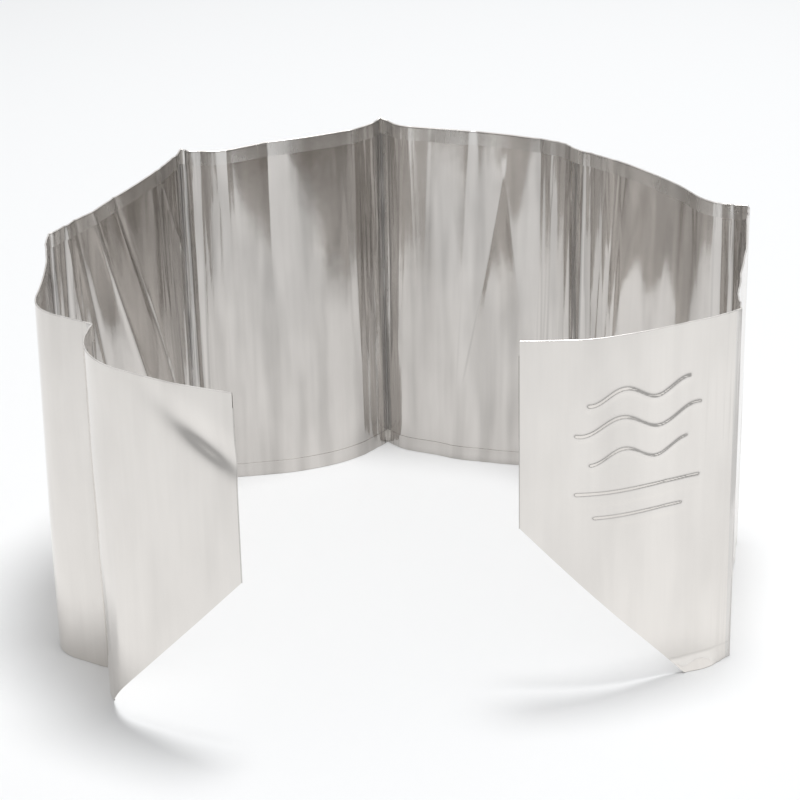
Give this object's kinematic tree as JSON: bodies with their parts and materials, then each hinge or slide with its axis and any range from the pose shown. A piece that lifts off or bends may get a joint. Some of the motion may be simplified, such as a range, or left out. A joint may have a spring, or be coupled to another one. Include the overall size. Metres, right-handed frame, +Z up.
{
  "type": "folding stove windscreen",
  "caption": "Free-standing ring of creased aluminium foil panels that shields a camp stove from wind, with hemmed edges, slanted corner cuts and folds that open flat.",
  "frame": {"origin": "middle of the ring's outer bounds, on the ground", "axes": "+X to the right seen from the open front, +Y to the back, +Z up"},
  "size_m": [0.3575, 0.2965, 0.2],
  "materials": {
    "foil": "bright rolled foil, softly bowed and wrinkled beside the creases",
    "hem": "bright rolled foil, folded flat",
    "crease": "rolled foil, dulled where it has been folded"
  },
  "bodies": {
    "leaf_1": {"panel_1": "foil", "top_hem_1": "hem", "bottom_hem_1": "hem", "crease_1": "crease", "left_end_hem": "hem"},
    "leaf_2": {"panel_2": "foil", "top_hem_2": "hem", "bottom_hem_2": "hem", "crease_2": "crease"},
    "leaf_3": {"panel_3": "foil", "top_hem_3": "hem", "bottom_hem_3": "hem", "crease_3": "crease"},
    "leaf_4": {"panel_4": "foil", "top_hem_4": "hem", "bottom_hem_4": "hem", "crease_4": "crease"},
    "leaf_5": {"panel_5": "foil", "top_hem_5": "hem", "bottom_hem_5": "hem", "crease_5": "crease"},
    "leaf_6": {"panel_6": "foil", "top_hem_6": "hem", "bottom_hem_6": "hem", "crease_6": "crease"},
    "leaf_7": {"panel_7": "foil", "top_hem_7": "hem", "bottom_hem_7": "hem", "crease_7": "crease"},
    "leaf_8": {"panel_8": "foil", "top_hem_8": "hem", "bottom_hem_8": "hem", "right_end_hem": "hem"}
  },
  "joints": [
    {"name": "fold_1", "type": "hinge", "parent": "leaf_2", "child": "leaf_1", "pos_m": [-0.1484, -0.07788, 0.1], "axis": [0, 0, 1], "range_deg": [-65, 85]},
    {"name": "fold_2", "type": "hinge", "parent": "leaf_3", "child": "leaf_2", "pos_m": [-0.17743, 0.01971, 0.1], "axis": [0, 0, -1], "range_deg": [-85, 27]},
    {"name": "fold_3", "type": "hinge", "parent": "leaf_4", "child": "leaf_3", "pos_m": [-0.11522, 0.1137, 0.1], "axis": [0, 0, 1], "range_deg": [-206, 29]},
    {"name": "fold_4", "type": "hinge", "parent": "leaf_4", "child": "leaf_5", "pos_m": [-0.00883, 0.14774, 0.1], "axis": [0, 0, 1], "range_deg": [-45, 83]},
    {"name": "fold_5", "type": "hinge", "parent": "leaf_5", "child": "leaf_6", "pos_m": [0.09417, 0.1068, 0.1], "axis": [0, 0, -1], "range_deg": [-138, 32]},
    {"name": "fold_6", "type": "hinge", "parent": "leaf_6", "child": "leaf_7", "pos_m": [0.17783, 0.03504, 0.1], "axis": [0, 0, 1], "range_deg": [-53, 97]},
    {"name": "fold_7", "type": "hinge", "parent": "leaf_7", "child": "leaf_8", "pos_m": [0.16325, -0.07678, 0.1], "axis": [0, 0, -1], "range_deg": [-220, 30]}
  ]
}
